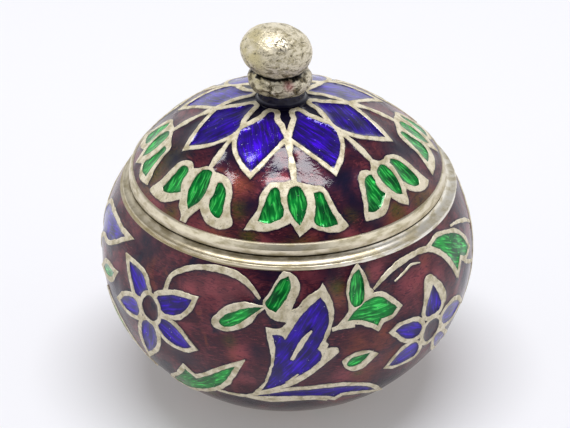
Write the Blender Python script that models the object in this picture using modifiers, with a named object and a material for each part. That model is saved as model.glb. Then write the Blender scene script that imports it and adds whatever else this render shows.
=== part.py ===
"""A small round pill box of enamelled silver: a ball-shaped bowl with a collar, and a domed lid with a knob.

Metres, +Z up. The origin is the middle of the flat underside. Every piece is turned about Z.
The lid's dome and knob lean a little to the left, as the hand-raised original does.
"""

import math

import bpy
from mathutils import Matrix

# The bowl
BELLY_RADIUS = 0.0180
BELLY_HEIGHT = 0.0132
BASE_RADIUS = 0.0093
MOUTH_RISE = 0.0069
MOUTH_INSET = 0.0019
BOWL_WALL = 0.0010
FLOOR_THICKNESS = 0.0010

# The collar soldered into the bowl's mouth, and the sleeve that lines it
COLLAR_HEIGHT = 0.0005
COLLAR_EDGE = 0.0002
COLLAR_COVE = 0.00085
SLEEVE_WALL = 0.0007
SLEEVE_DEPTH = 0.0020

# The band at the lid's edge, and the lip that drops into the sleeve
BAND_HEIGHT = 0.00095
BAND_BEVEL_HEIGHT = 0.00055
BAND_BEVEL_INSET = 0.00020
LIP_WALL = 0.0007
LIP_DEPTH = 0.0018

# The lid's dome, a spherical cap, and the neck raised at its top
DOME_INSET = 0.00035
DOME_RISE = 0.0068
LID_WALL = 0.0009
NECK_FOOT_RADIUS = 0.0039
NECK_TOP_RADIUS = 0.00275
NECK_HEIGHT = 0.00075
LID_LEAN = 0.080

# The knob: a bead with a flattened ball on it
KNOB_SEAT_RADIUS = 0.0022
BEAD_RADIUS = 0.0030
BEAD_HEIGHT = 0.0019
WAIST_RADIUS = 0.0023
BALL_RADIUS = 0.00338
BALL_HEIGHT = 0.0046

# The gap left between one piece and the next
CLEARANCE = 0.0003

# Facets
SIDES = 48
KNOB_SIDES = 32
WALL_ROWS = 13
DOME_ROWS = 11
ARC_ROWS = 5
KNOB_ROWS = 8
SHARP_ANGLE = math.radians(35)
MERGE_DISTANCE = 0.00001

# Heights and radii that follow from the sizes above
LOWER_DEPTH = BELLY_HEIGHT / math.sqrt(1 - (BASE_RADIUS / BELLY_RADIUS) ** 2)
UPPER_DEPTH = MOUTH_RISE / math.sqrt(1 - (1 - MOUTH_INSET / BELLY_RADIUS) ** 2)
MOUTH_HEIGHT = BELLY_HEIGHT + MOUTH_RISE
COLLAR_FOOT = MOUTH_HEIGHT + CLEARANCE
COLLAR_TOP = COLLAR_FOOT + COLLAR_EDGE + COLLAR_HEIGHT
BAND_FOOT = COLLAR_TOP + CLEARANCE
BAND_TOP = BAND_FOOT + BAND_HEIGHT
DOME_FOOT = BAND_TOP + CLEARANCE


def bowl_radius(height, wall=0.0):
    """The bowl's radius at a height: an ellipse above the belly and another below it, both drawn in by wall."""
    depth = LOWER_DEPTH if height < BELLY_HEIGHT else UPPER_DEPTH
    share = (height - BELLY_HEIGHT) / (depth - wall)
    return (BELLY_RADIUS - wall) * math.sqrt(1 - share**2)


COLLAR_FOOT_RADIUS = bowl_radius(COLLAR_FOOT)
COLLAR_TOP_RADIUS = COLLAR_FOOT_RADIUS - COLLAR_COVE
SLEEVE_RADIUS = bowl_radius(MOUTH_HEIGHT, BOWL_WALL) - CLEARANCE
SLEEVE_BORE = SLEEVE_RADIUS - SLEEVE_WALL
LIP_RADIUS = SLEEVE_BORE - CLEARANCE
LIP_BORE = LIP_RADIUS - LIP_WALL
BAND_TOP_RADIUS = COLLAR_TOP_RADIUS - BAND_BEVEL_INSET
DOME_RADIUS = BAND_TOP_RADIUS - DOME_INSET
CAP_RADIUS = (DOME_RADIUS**2 + DOME_RISE**2) / (2 * DOME_RISE)
CAP_CENTRE = DOME_FOOT + DOME_RISE - CAP_RADIUS


def cap_height(radius, wall=0.0):
    """The dome's height at a radius."""
    return CAP_CENTRE + math.sqrt((CAP_RADIUS - wall) ** 2 - radius**2)


NECK_TOP = cap_height(NECK_FOOT_RADIUS) + NECK_HEIGHT
KNOB_SEAT = NECK_TOP + CLEARANCE


def spread(start, end, count):
    """Evenly spaced values from start to end, both of them included."""
    return [start + (end - start) * i / count for i in range(count + 1)]


def ellipse(centre_r, centre_z, size_r, size_z, start, end, count):
    """Points of an ellipse, between two angles in degrees from the horizontal."""
    points = []
    for angle in spread(math.radians(start), math.radians(end), count):
        points.append((centre_r + size_r * math.cos(angle), centre_z + size_z * math.sin(angle)))
    return points


def wall_angle(height, wall):
    """Where a height lies on the bowl's ellipse, in radians from the belly."""
    depth = LOWER_DEPTH if height < BELLY_HEIGHT else UPPER_DEPTH
    return math.asin((height - BELLY_HEIGHT) / (depth - wall))


def wall_heights(bottom, top, wall):
    """Heights along the bowl's side, closer together where it curves in, from bottom to top."""
    heights = []
    for angle in spread(wall_angle(bottom, wall), wall_angle(top, wall), WALL_ROWS):
        depth = LOWER_DEPTH if angle < 0 else UPPER_DEPTH
        heights.append(BELLY_HEIGHT + (depth - wall) * math.sin(angle))
    return heights


def turned(name, outline, closed, sides, material, collection):
    """A solid turned about Z from an outline of (radius, height) that runs down its outer side."""
    mesh = bpy.data.meshes.new(name)
    count = len(outline)
    edges = [(i, i + 1) for i in range(count - 1)]
    if closed:
        edges.append((count - 1, 0))
    mesh.from_pydata([(radius, 0.0, height) for radius, height in outline], edges, [])
    piece = bpy.data.objects.new(name, mesh)
    collection.objects.link(piece)
    screw = piece.modifiers.new("Turn", "SCREW")
    screw.axis = "Z"
    screw.angle = math.tau
    screw.steps = sides
    screw.render_steps = sides
    screw.use_merge_vertices = True
    screw.merge_threshold = MERGE_DISTANCE
    screw.use_smooth_shade = True
    solid = bpy.data.meshes.new_from_object(piece.evaluated_get(bpy.context.evaluated_depsgraph_get()))
    solid.name = name
    piece.modifiers.clear()
    piece.data = solid
    solid.shade_smooth()
    solid.set_sharp_from_angle(angle=SHARP_ANGLE)
    solid.materials.clear()
    solid.materials.append(material)
    return piece


def lean(piece):
    """Leans what stands on the lid's band to the left, keeping the band's plane where it is."""
    lift = Matrix.Translation((0, 0, DOME_FOOT))
    shear = Matrix.Shear("XY", 4, (-LID_LEAN, 0))
    piece.data.transform(lift @ shear @ lift.inverted())


def finish(name, colour, roughness, metallic):
    material = bpy.data.materials.new(name)
    material.use_nodes = True
    shader = material.node_tree.nodes["Principled BSDF"]
    shader.inputs["Base Color"].default_value = (*colour, 1)
    shader.inputs["Roughness"].default_value = roughness
    shader.inputs["Metallic"].default_value = metallic
    return material


def make_bowl(material, collection):
    outer = [(bowl_radius(h), h) for h in reversed(wall_heights(0.0, MOUTH_HEIGHT, 0.0))]
    inner = [(bowl_radius(h, BOWL_WALL), h) for h in wall_heights(FLOOR_THICKNESS, MOUTH_HEIGHT, BOWL_WALL)]
    outline = [(0.0, FLOOR_THICKNESS)] + inner + outer + [(0.0, 0.0)]
    return turned("bowl", outline, False, SIDES, material, collection)


def make_bowl_rim(material, collection):
    cove = ellipse(COLLAR_FOOT_RADIUS, COLLAR_TOP, COLLAR_COVE, COLLAR_HEIGHT, 180, 270, ARC_ROWS)
    outline = cove + [
        (COLLAR_FOOT_RADIUS, COLLAR_FOOT),
        (SLEEVE_RADIUS, COLLAR_FOOT),
        (SLEEVE_RADIUS, COLLAR_FOOT - SLEEVE_DEPTH),
        (SLEEVE_BORE, COLLAR_FOOT - SLEEVE_DEPTH),
        (SLEEVE_BORE, COLLAR_TOP),
    ]
    return turned("bowl_rim", outline, True, SIDES, material, collection)


def make_lid_rim(material, collection):
    outline = [
        (BAND_TOP_RADIUS, BAND_TOP),
        (COLLAR_TOP_RADIUS, BAND_TOP - BAND_BEVEL_HEIGHT),
        (COLLAR_TOP_RADIUS, BAND_FOOT),
        (LIP_RADIUS, BAND_FOOT),
        (LIP_RADIUS, BAND_FOOT - LIP_DEPTH),
        (LIP_BORE, BAND_FOOT - LIP_DEPTH),
        (LIP_BORE, BAND_TOP),
    ]
    return turned("lid_rim", outline, True, SIDES, material, collection)


def make_lid(material, collection):
    inner_radius = math.sqrt((CAP_RADIUS - LID_WALL) ** 2 - (DOME_FOOT - CAP_CENTRE) ** 2)
    inner = [(r, cap_height(r, LID_WALL)) for r in spread(0.0, inner_radius, DOME_ROWS)]
    neck_rise = NECK_TOP - cap_height(NECK_FOOT_RADIUS)
    neck_reach = NECK_FOOT_RADIUS - NECK_TOP_RADIUS
    neck = ellipse(NECK_FOOT_RADIUS, NECK_TOP, neck_reach, neck_rise, 180, 270, ARC_ROWS)
    outer = [(r, cap_height(r)) for r in spread(NECK_FOOT_RADIUS, DOME_RADIUS, DOME_ROWS)]
    outline = [(0.0, NECK_TOP)] + neck + outer[1:] + list(reversed(inner))
    piece = turned("lid", outline, False, SIDES, material, collection)
    lean(piece)
    return piece


def make_knob(material, collection):
    bead_centre = KNOB_SEAT + BEAD_HEIGHT / 2
    ball_centre = KNOB_SEAT + BEAD_HEIGHT + BALL_HEIGHT / 2 - (BEAD_RADIUS - WAIST_RADIUS) / 2
    waist_angle = math.degrees(math.acos(WAIST_RADIUS / BALL_RADIUS))
    ball = ellipse(0, ball_centre, BALL_RADIUS, BALL_HEIGHT / 2, 90, -waist_angle, 2 * KNOB_ROWS)
    bulge = BEAD_RADIUS - KNOB_SEAT_RADIUS
    bead = ellipse(KNOB_SEAT_RADIUS, bead_centre, bulge, BEAD_HEIGHT / 2, 70, -90, KNOB_ROWS)
    outline = [(0.0, ball[0][1])] + ball[1:] + bead + [(0.0, KNOB_SEAT)]
    piece = turned("knob", outline, False, KNOB_SIDES, material, collection)
    lean(piece)
    return piece


def main():
    for old in list(bpy.data.objects):
        bpy.data.objects.remove(old)
    box = bpy.data.collections.new("enamel_pill_box")
    bpy.context.scene.collection.children.link(box)
    make_bowl(finish("bowl enamel", (0.09, 0.03, 0.04), 0.25, 0.5), box)
    make_bowl_rim(finish("polished silver", (0.80, 0.77, 0.70), 0.25, 1.0), box)
    make_lid_rim(finish("worn silver", (0.72, 0.68, 0.58), 0.40, 1.0), box)
    make_lid(finish("lid enamel", (0.06, 0.03, 0.12), 0.20, 0.5), box)
    make_knob(finish("cast silver", (0.70, 0.67, 0.58), 0.45, 1.0), box)


main()
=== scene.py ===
"""The looks of a small round pill box of enamelled silver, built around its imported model.

Run as a script, it registers the operators below, runs them in order and leaves a finished scene.
Lengths are metres. The pattern's own points are degrees round the box and millimetres along its wall.
"""

import math
import random
from bisect import bisect_right

import bmesh
import bpy
from bpy.props import FloatProperty, IntProperty, PointerProperty, StringProperty
from mathutils import Matrix, Vector, noise
from mathutils.geometry import (
    delaunay_2d_cdt,
    interpolate_bezier,
    intersect_line_line_2d,
    intersect_point_line,
)
from mathutils.kdtree import KDTree


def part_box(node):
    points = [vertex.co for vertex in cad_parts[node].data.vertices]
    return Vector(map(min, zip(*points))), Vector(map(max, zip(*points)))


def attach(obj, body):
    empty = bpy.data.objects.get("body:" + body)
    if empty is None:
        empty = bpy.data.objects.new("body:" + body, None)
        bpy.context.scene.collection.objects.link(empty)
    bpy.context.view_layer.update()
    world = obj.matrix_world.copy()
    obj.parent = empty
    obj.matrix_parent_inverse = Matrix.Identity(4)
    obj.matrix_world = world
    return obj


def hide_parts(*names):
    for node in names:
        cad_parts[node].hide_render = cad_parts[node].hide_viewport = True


bl_info = {
    "name": "Enamel Pill Box",
    "version": (1, 0, 0),
    "blender": (4, 5, 0),
    "location": "View3D > Sidebar > Pill Box",
    "description": "Builds the enamelled bowl and lid, the silver rims, the knob and a plain studio",
    "category": "Add Mesh",
}

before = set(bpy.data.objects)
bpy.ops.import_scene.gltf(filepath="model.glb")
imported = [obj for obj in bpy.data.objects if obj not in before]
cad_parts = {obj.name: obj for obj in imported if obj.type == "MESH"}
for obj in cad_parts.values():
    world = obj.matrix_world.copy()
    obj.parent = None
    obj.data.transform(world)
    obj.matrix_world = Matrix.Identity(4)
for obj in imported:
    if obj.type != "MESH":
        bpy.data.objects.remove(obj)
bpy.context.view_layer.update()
BOWL_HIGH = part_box("bowl")[1]
COLLAR_LOW, COLLAR_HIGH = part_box("bowl_rim")
BAND_LOW, BAND_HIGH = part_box("lid_rim")
LID_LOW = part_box("lid")[0]

MM = 0.001
WELD = 0.000001
SEED = 7

# Colours that the ground enamel is stained with, in order
NAVY, RUST, ROSE, OLIVE = range(4)

# Material slots of an enamelled piece, in order
GROUND, SILVER, BLUE, GREEN, PLUM, LINING = range(6)


def length(name, description, default):
    return FloatProperty(name=name, description=description, default=default, unit="LENGTH", precision=5)


def colour(name, description, default):
    return StringProperty(name=name, description=description + ", as an sRGB hex value", default=default)


class BoxSizes(bpy.types.PropertyGroup):
    """Sizes of the bowl, the lid and the knob."""

    belly_radius: length("Belly radius", "Radius of the bowl where it is widest", BOWL_HIGH.x)
    belly_height: length("Belly height", "Height of the widest place", 13.2 * MM)
    base_radius: length("Base radius", "Radius of the flat underside", 9.3 * MM)
    mouth_height: length("Mouth height", "Height of the bowl's mouth", BOWL_HIGH.z)
    mouth_inset: length("Mouth inset", "How far the mouth draws in from the belly", 1.9 * MM)
    bowl_wall: length("Bowl wall", "Thickness of the bowl's wall and floor", 1.0 * MM)
    collar_slip: length("Collar slip", "How far the collar's outer edge stands off centre", 0.22 * MM)
    cap_radius: length("Dome radius", "Radius of the sphere that the dome is part of", 18.90 * MM)
    cap_centre: length("Dome centre", "Height of that sphere's centre", 10.55 * MM)
    dome_foot: length("Dome foot", "Height of the dome's lower edge", LID_LOW.z)
    lid_wall: length("Lid wall", "Thickness of the lid", 0.9 * MM)
    neck_foot: length("Neck foot", "Radius of the neck where it rises from the dome", 2.5 * MM)
    neck_bend: length("Neck bend", "Size of the bend at the neck's foot", 0.4 * MM)
    neck_top: length("Neck top", "Radius of the neck under the knob", 2.1 * MM)
    neck_end: length("Neck end", "Height of the neck's upper end", 30.50 * MM)
    lean: FloatProperty(name="Lean", description="Sideways lean of lid and knob", default=0.08)
    ball_radius: length("Ball radius", "Radius of the knob's ball", 3.33 * MM)
    ball_height: length("Ball height", "Height that the whole ball would have", 4.95 * MM)
    ball_centre: length("Ball centre", "Height of the ball's centre", 34.15 * MM)
    ball_slip: length("Ball slip", "How far the ball sits to the left of the bead", 0.12 * MM)
    crevice: length("Crevice", "Height of the dark groove between ball and bead", 32.50 * MM)
    bead_radius: length("Bead radius", "Radius of the bead under the ball", 3.0 * MM)


class InlaySizes(bpy.types.PropertyGroup):
    """Sizes of the silver lines and of the enamel between them."""

    line: length("Line", "Width of a silver line", 0.50 * MM)
    rise: length("Rise", "How far the silver stands above the enamel's edge", 0.05 * MM)
    chamfer: length("Chamfer", "Width of the worn edge of a silver line", 0.05 * MM)
    cell_dip: length("Cell dip", "How far the enamel sinks in a leaf or petal", 0.10 * MM)
    ground_dip: length("Ground dip", "How far the enamel sinks in the ground", 0.07 * MM)
    shore: length("Shore", "How far from a line the enamel climbs to meet it", 0.28 * MM)
    wave: length("Wave", "Unevenness of the hand-raised wall", 0.04 * MM)
    grid: length("Grid", "Spacing of the mesh between the lines", 0.40 * MM)
    sides: IntProperty(name="Sides", description="Facets round the box", default=240)


class BoxColours(bpy.types.PropertyGroup):
    """Colours of the enamels and metals."""

    maroon: colour("Maroon", "Ground enamel over most of the box", "#441C28")
    rose: colour("Rose", "Ground enamel where it is thin", "#8F434B")
    olive: colour("Olive", "Ground enamel where it burned green", "#4C4A1C")
    navy: colour("Navy", "Ground enamel where the blue ran into it", "#14112A")
    rust: colour("Rust", "Ground enamel where it burned brown", "#7C4030")
    blue: colour("Blue", "Cobalt enamel", "#2C089A")
    blue_deep: colour("Deep blue", "Cobalt enamel where it is thick", "#1E1252")
    # Light blue stands for the engraved cut under the enamel and for a painted highlight along it.
    blue_light: colour("Light blue", "Cobalt enamel over a bright cut", "#3C08C8")
    green: colour("Green", "Leaf enamel", "#0AA03C")
    green_deep: colour("Deep green", "Leaf enamel where it is thick", "#065428")
    # Light green stands for the engraved cut under the enamel and for a painted highlight along it.
    green_light: colour("Light green", "Leaf enamel over a bright cut", "#4CE868")
    silver: colour("Silver", "Filed silver between the enamels", "#E4DAC2")
    # This whiter silver is a painted reflection of the tent's bright wall, laid on the collar's right side.
    painted_sheen: colour("Bare silver", "The collar where fingers keep it bright", "#F4F0E6")
    tarnish: colour("Tarnish", "Warm tarnish on the silver", "#B2A684")
    # Umber in the seam between collar and band stands for tarnish and painted shade under the band's edge;
    # on the knob it darkens the lower part.
    umber: colour("Umber", "Brown tarnish in the seam and low on the knob", "#6E6248")
    soot: colour("Soot", "Black tarnish in pits and corners", "#221E1A")
    brass: colour("Brass", "Yellow tarnish on the knob", "#CBBF94")
    trace: colour("Trace", "Enamel that ran onto the knob's bead", "#B4616A")
    floor: colour("Floor", "Studio floor", "#D6D7DE")


class StudioSizes(bpy.types.PropertyGroup):
    """The camera."""

    look_right: length("Look right", "Where the camera looks, to the right", -0.22 * MM)
    look_up: length("Look up", "Height that the camera looks at", 16.5 * MM)
    distance: length("Distance", "From the camera to that point", 220.0 * MM)
    elevation: FloatProperty(
        name="Elevation", description="Camera angle", default=math.radians(31.3), subtype="ANGLE"
    )
    lens: FloatProperty(name="Lens", description="Focal length on a 36 mm sensor", default=144.1)


class PillBoxSettings(bpy.types.PropertyGroup):
    """All that can be set."""

    sizes: PointerProperty(type=BoxSizes)
    inlay: PointerProperty(type=InlaySizes)
    colours: PointerProperty(type=BoxColours)
    studio: PointerProperty(type=StudioSizes)


def linear(code):
    """A colour from an sRGB hex value, as linear light with alpha 1."""
    parts = [int(code[i : i + 2], 16) / 255 for i in (1, 3, 5)]
    return (*((c / 12.92 if c <= 0.04045 else ((c + 0.055) / 1.055) ** 2.4) for c in parts), 1.0)


def add(tree, kind, settings=None, inputs=None):
    """Adds a node. An input that is a socket is linked, and any other is set."""
    made = tree.nodes.new(kind)
    for name, value in (settings or {}).items():
        setattr(made, name, value)
    for name, value in (inputs or {}).items():
        if isinstance(value, bpy.types.NodeSocket):
            tree.links.new(value, made.inputs[name])
        else:
            made.inputs[name].default_value = value
    return made


def start_material(name):
    """A new material with its tree and its surface shader."""
    material = bpy.data.materials.new(name)
    material.use_nodes = True
    return material, material.node_tree, material.node_tree.nodes["Principled BSDF"]


# Patterns that several materials share


def place_on_piece(tree, stretch, turn=(0.0, 0.0, 0.0)):
    """Object coordinates in millimetres, stretched by a number or by one for each axis, and turned."""
    here = add(tree, "ShaderNodeTexCoord").outputs["Object"]
    if isinstance(stretch, float):
        stretch = (stretch, stretch, stretch)
    scale = [1 / (MM * s) for s in stretch]
    inputs = {"Vector": here, "Scale": scale, "Rotation": turn}
    return add(tree, "ShaderNodeMapping", None, inputs).outputs[0]


def place_in_cell(tree, stretch):
    """The cell's own coordinates in millimetres, with its engraved cuts running along V."""
    here = add(tree, "ShaderNodeUVMap", {"uv_map": "grain"}).outputs["UV"]
    scale = (1 / stretch[0], 1 / stretch[1], 1.0)
    return add(tree, "ShaderNodeMapping", None, {"Vector": here, "Scale": scale}).outputs[0]


def cloud(tree, place, detail, roughness=0.5, distortion=0.0):
    """A noise over a place, as a value around a half."""
    inputs = {"Vector": place, "Scale": 1.0, "Detail": detail}
    inputs.update({"Roughness": roughness, "Distortion": distortion})
    return add(tree, "ShaderNodeTexNoise", None, inputs).outputs["Fac"]


def mark(tree, name):
    """A value that the mesh carries at its vertices."""
    return add(tree, "ShaderNodeAttribute", {"attribute_name": name}).outputs["Fac"]


def axes(tree):
    """The object coordinates, each by its letter."""
    here = add(tree, "ShaderNodeTexCoord").outputs["Object"]
    return add(tree, "ShaderNodeSeparateXYZ", None, {0: here}).outputs


def span(tree, value, low, high, to_low=0.0, to_high=1.0):
    """Maps a value's range to another, clamped, with soft ends."""
    settings = {"interpolation_type": "SMOOTHSTEP"}
    inputs = {"Value": value, "From Min": low, "From Max": high, "To Min": to_low, "To Max": to_high}
    return add(tree, "ShaderNodeMapRange", settings, inputs).outputs[0]


def blend(tree, share, first, second):
    """One colour mixed into another."""
    made = add(tree, "ShaderNodeMix", {"data_type": "RGBA"})
    for index, value in ((0, share), (6, first), (7, second)):
        if isinstance(value, bpy.types.NodeSocket):
            tree.links.new(value, made.inputs[index])
        else:
            made.inputs[index].default_value = value
    return made.outputs[2]


def tint(tree, share, body, code):
    """A colour with a share of another, given as a hex value, laid over it."""
    return blend(tree, share, body, linear(code))


def bump(tree, height, strength, depth, under=None):
    inputs = {"Height": height, "Strength": strength, "Distance": depth}
    if under:
        inputs["Normal"] = under
    return add(tree, "ShaderNodeBump", None, inputs).outputs[0]


def product(tree, first, second):
    return add(tree, "ShaderNodeMath", {"operation": "MULTIPLY"}, {0: first, 1: second}).outputs[0]


def glass_coat(tree, shader, metallic, roughness):
    """Fired glass over bright silver: coloured metal under a clear coat that is rippled from firing."""
    shader.inputs["Metallic"].default_value = metallic
    shader.inputs["Roughness"].default_value = roughness
    shader.inputs["Coat Weight"].default_value = 0.75
    shader.inputs["Coat Roughness"].default_value = 0.09
    shader.inputs["Coat IOR"].default_value = 1.42
    shader.inputs["Specular IOR Level"].default_value = 0.0
    ripples = cloud(tree, place_on_piece(tree, 0.9), 3.0, 0.6, 0.5)
    tree.links.new(bump(tree, ripples, 0.6, 0.05 * MM), shader.inputs["Coat Normal"])


def cell_enamel(name, deep, middle, light, cut_width, cut_length):
    """Translucent enamel over engraved silver: lighter along the cuts, partly as a painted highlight,
    darker where it pools at a line.
    """
    material, tree, shader = start_material(name)
    cuts = cloud(tree, place_in_cell(tree, (cut_width, cut_length)), 2.0, 0.55, 0.4)
    pools = cloud(tree, place_on_piece(tree, 1.6), 2.0)
    edge = mark(tree, "shore")
    body = tint(tree, span(tree, pools, 0.3, 0.7), linear(deep), middle)
    # The cuts lighten the enamel, partly as the engraving and partly as a painted highlight.
    lit = product(tree, span(tree, cuts, 0.50, 0.66), span(tree, pools, 0.3, 0.6, 0.4, 1.0))
    body = tint(tree, lit, body, light)
    body = tint(tree, span(tree, cuts, 0.44, 0.32, 0.0, 0.85), body, deep)
    body = tint(tree, span(tree, edge, 0.0, 0.7, 0.9, 0.0), body, deep)
    holes = cloud(tree, place_on_piece(tree, 0.17), 1.0)
    body = blend(tree, span(tree, holes, 0.74, 0.80, 0.0, 0.5), body, (0.8, 0.8, 0.85, 1.0))
    tree.links.new(body, shader.inputs["Base Color"])
    glass_coat(tree, shader, 0.55, 0.30)
    tree.links.new(bump(tree, cuts, 0.5, 0.06 * MM), shader.inputs["Normal"])
    return material


def ground_enamel(name, colours, around_neck):
    """Translucent plum enamel over scratched silver: cloudy and brushed, darker where it meets a line."""
    material, tree, shader = start_material(name)
    wide = place_on_piece(tree, 3.2)
    patches = cloud(tree, wide, 3.0, 0.55, 0.8)
    moved = add(tree, "ShaderNodeVectorMath", None, {0: wide, 1: (17.3, 4.1, 9.7)}).outputs[0]
    others = cloud(tree, moved, 3.0, 0.55, 1.0)
    strokes = cloud(tree, place_on_piece(tree, (1.1, 1.1, 0.28), (0.5, 0.4, 0.0)), 4.0, 0.65, 2.2)
    stain = add(tree, "ShaderNodeAttribute", {"attribute_name": "stain"})
    parts = add(tree, "ShaderNodeSeparateColor", None, {0: stain.outputs["Color"]}).outputs
    body = tint(tree, span(tree, patches, 0.46, 0.72, 0.0, 0.6), linear(colours.maroon), colours.rose)
    body = tint(tree, span(tree, others, 0.60, 0.74, 0.0, 0.7), body, colours.rust)
    body = tint(tree, span(tree, others, 0.44, 0.30, 0.0, 0.9), body, colours.navy)
    marks = (parts[1], parts[2], stain.outputs["Alpha"])
    for share, tone in zip(marks, (colours.rust, colours.rose, colours.olive)):
        broken = product(tree, share, span(tree, patches, 0.25, 0.60, 0.35, 1.0))
        body = tint(tree, broken, body, tone)
    pooled = product(tree, parts[0], span(tree, others, 0.70, 0.40, 0.5, 1.0))
    body = tint(tree, pooled, body, colours.navy)
    body = tint(tree, span(tree, strokes, 0.50, 0.34, 0.0, 0.65), body, colours.navy)
    clear = span(tree, parts[0], 0.0, 0.8, 1.0, 0.0)
    lit = product(tree, span(tree, strokes, 0.54, 0.70, 0.0, 0.55), clear)
    body = tint(tree, lit, body, colours.rose)
    edge = mark(tree, "shore")
    body = tint(tree, span(tree, edge, 0.0, 0.6, 0.75, 0.0), body, colours.navy)
    holes = cloud(tree, place_on_piece(tree, 0.20), 1.0)
    body = tint(tree, span(tree, holes, 0.72, 0.78, 0.0, 0.8), body, colours.soot)
    if around_neck:
        near = span(tree, axes(tree)["Z"], 27.6 * MM, 28.8 * MM)
        body = tint(tree, near, body, colours.navy)
    tree.links.new(body, shader.inputs["Base Color"])
    glass_coat(tree, shader, 0.40, 0.38)
    tree.links.new(bump(tree, strokes, 0.4, 0.05 * MM), shader.inputs["Normal"])
    return material


def filed_silver(colours):
    """Silver filed flush with the enamel: a soft satin, with warm tarnish, dark specks and file marks."""
    material, tree, shader = start_material("filed silver")
    mottle = cloud(tree, place_on_piece(tree, 0.8), 4.0, 0.6)
    specks = cloud(tree, place_on_piece(tree, 0.13), 2.0)
    marks = cloud(tree, place_on_piece(tree, (0.5, 0.06, 0.3), (0.2, 0.6, 0.5)), 2.0)
    body = tint(tree, span(tree, mottle, 0.38, 0.70), linear(colours.silver), colours.tarnish)
    body = tint(tree, span(tree, specks, 0.60, 0.74, 0.0, 0.6), body, colours.soot)
    tree.links.new(body, shader.inputs["Base Color"])
    shader.inputs["Metallic"].default_value = 0.25
    tree.links.new(span(tree, mottle, 0.3, 0.7, 0.42, 0.60), shader.inputs["Roughness"])
    pitted = bump(tree, specks, 0.4, 0.02 * MM)
    tree.links.new(bump(tree, marks, 0.3, 0.03 * MM, pitted), shader.inputs["Normal"])
    return material


def polished_silver(colours):
    """Burnished silver on the turned rims: bright, with hairline scratches and a little tarnish, umber at
    the seam for tarnish and painted shade, and a painted reflection on the collar's right side.
    """
    material, tree, shader = start_material("polished silver")
    mottle = cloud(tree, place_on_piece(tree, (1.5, 1.5, 0.5)), 4.0, 0.6)
    hairs = cloud(tree, place_on_piece(tree, (3.0, 3.0, 0.05)), 3.0, 0.6)
    seam = mark(tree, "shore")
    body = tint(tree, span(tree, mottle, 0.42, 0.70, 0.0, 0.9), linear(colours.silver), colours.tarnish)
    split = axes(tree)
    collar = span(tree, split["Z"], COLLAR_HIGH.z + 0.10 * MM, COLLAR_HIGH.z - 0.05 * MM)
    patchy = span(tree, mottle, 0.40, 0.62, 0.85, 0.15)
    # A painted reflection: whiter silver in patches on the collar's right side.
    right_sheen = product(tree, product(tree, collar, span(tree, split["X"], -1.0 * MM, 9.0 * MM)), patchy)
    body = tint(tree, right_sheen, body, colours.painted_sheen)
    # Umber near the seam: tarnish, and painted shade under the band's edge.
    dull = product(tree, span(tree, seam, 0.0, 1.0, 0.0, 0.9), span(tree, mottle, 0.25, 0.60, 0.45, 1.0))
    body = tint(tree, dull, body, colours.umber)
    tree.links.new(body, shader.inputs["Base Color"])
    shader.inputs["Metallic"].default_value = 1.0
    worn = span(tree, mottle, 0.3, 0.7, 0.28, 0.42)
    grimy = span(tree, seam, 0.1, 0.8, 0.2, 0.6)
    rough = add(tree, "ShaderNodeMath", {"operation": "MAXIMUM"}, {0: worn, 1: grimy})
    tree.links.new(rough.outputs[0], shader.inputs["Roughness"])
    tree.links.new(bump(tree, hairs, 0.05, 0.02 * MM), shader.inputs["Normal"])
    return material


def cast_silver(colours):
    """Cast silver: worn, lighter on top and browner low down, pitted, and black in its groove and pits."""
    material, tree, shader = start_material("cast silver")
    mottle = cloud(tree, place_on_piece(tree, 1.3), 4.0, 0.6)
    pits = cloud(tree, place_on_piece(tree, 0.26), 3.0, 0.65, 0.6)
    hollow = mark(tree, "shore")
    trace = mark(tree, "trace")
    worn = cloud(tree, place_on_piece(tree, (0.9, 0.9, 0.5), (0.5, 0.2, 0.0)), 5.0, 0.7, 0.6)
    split = axes(tree)
    left = span(tree, split["X"], -1.2 * MM, -3.0 * MM)
    low = span(tree, split["Z"], 35.2 * MM, 31.5 * MM)
    yellow = product(tree, left, span(tree, mottle, 0.3, 0.6))
    body = tint(tree, yellow, linear(colours.silver), colours.brass)
    dark = span(tree, worn, 0.44, 0.60)
    brown = product(tree, dark, span(tree, left, 0.0, 1.0, 0.9, 0.25))
    body = tint(tree, brown, body, colours.tarnish)
    # Umber patches, more of them towards the bottom of the knob.
    body = tint(tree, product(tree, dark, low), body, colours.umber)
    body = tint(tree, span(tree, trace, 0.1, 0.8, 0.0, 0.7), body, colours.trace)
    broken = product(tree, span(tree, pits, 0.50, 0.62), span(tree, worn, 0.46, 0.62, 0.0, 0.9))
    body = tint(tree, broken, body, colours.soot)
    dent = mark(tree, "dent")
    pocked = product(tree, span(tree, pits, 0.47, 0.55, 0.0, 0.85), span(tree, dent, 0.1, 0.6))
    body = tint(tree, pocked, body, colours.soot)
    body = tint(tree, span(tree, hollow, 0.35, 0.75), body, colours.soot)
    tree.links.new(body, shader.inputs["Base Color"])
    shader.inputs["Metallic"].default_value = 0.5
    tree.links.new(span(tree, pits, 0.35, 0.65, 0.26, 0.60), shader.inputs["Roughness"])
    dented = bump(tree, worn, 0.5, 0.08 * MM)
    tree.links.new(bump(tree, pits, 0.7, -0.06 * MM, dented), shader.inputs["Normal"])
    return material


def inner_silver(colours):
    """The plain inside and underside: raised silver left from the hammer, dull and grey with tarnish."""
    material, tree, shader = start_material("inner silver")
    mottle = cloud(tree, place_on_piece(tree, 2.5), 4.0, 0.6)
    dents = cloud(tree, place_on_piece(tree, 1.2), 1.0)
    body = tint(tree, span(tree, mottle, 0.35, 0.70), linear(colours.silver), colours.tarnish)
    tree.links.new(body, shader.inputs["Base Color"])
    shader.inputs["Metallic"].default_value = 1.0
    tree.links.new(span(tree, mottle, 0.3, 0.7, 0.30, 0.50), shader.inputs["Roughness"])
    tree.links.new(bump(tree, dents, 0.3, 0.06 * MM), shader.inputs["Normal"])
    return material


# Turned walls


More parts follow.
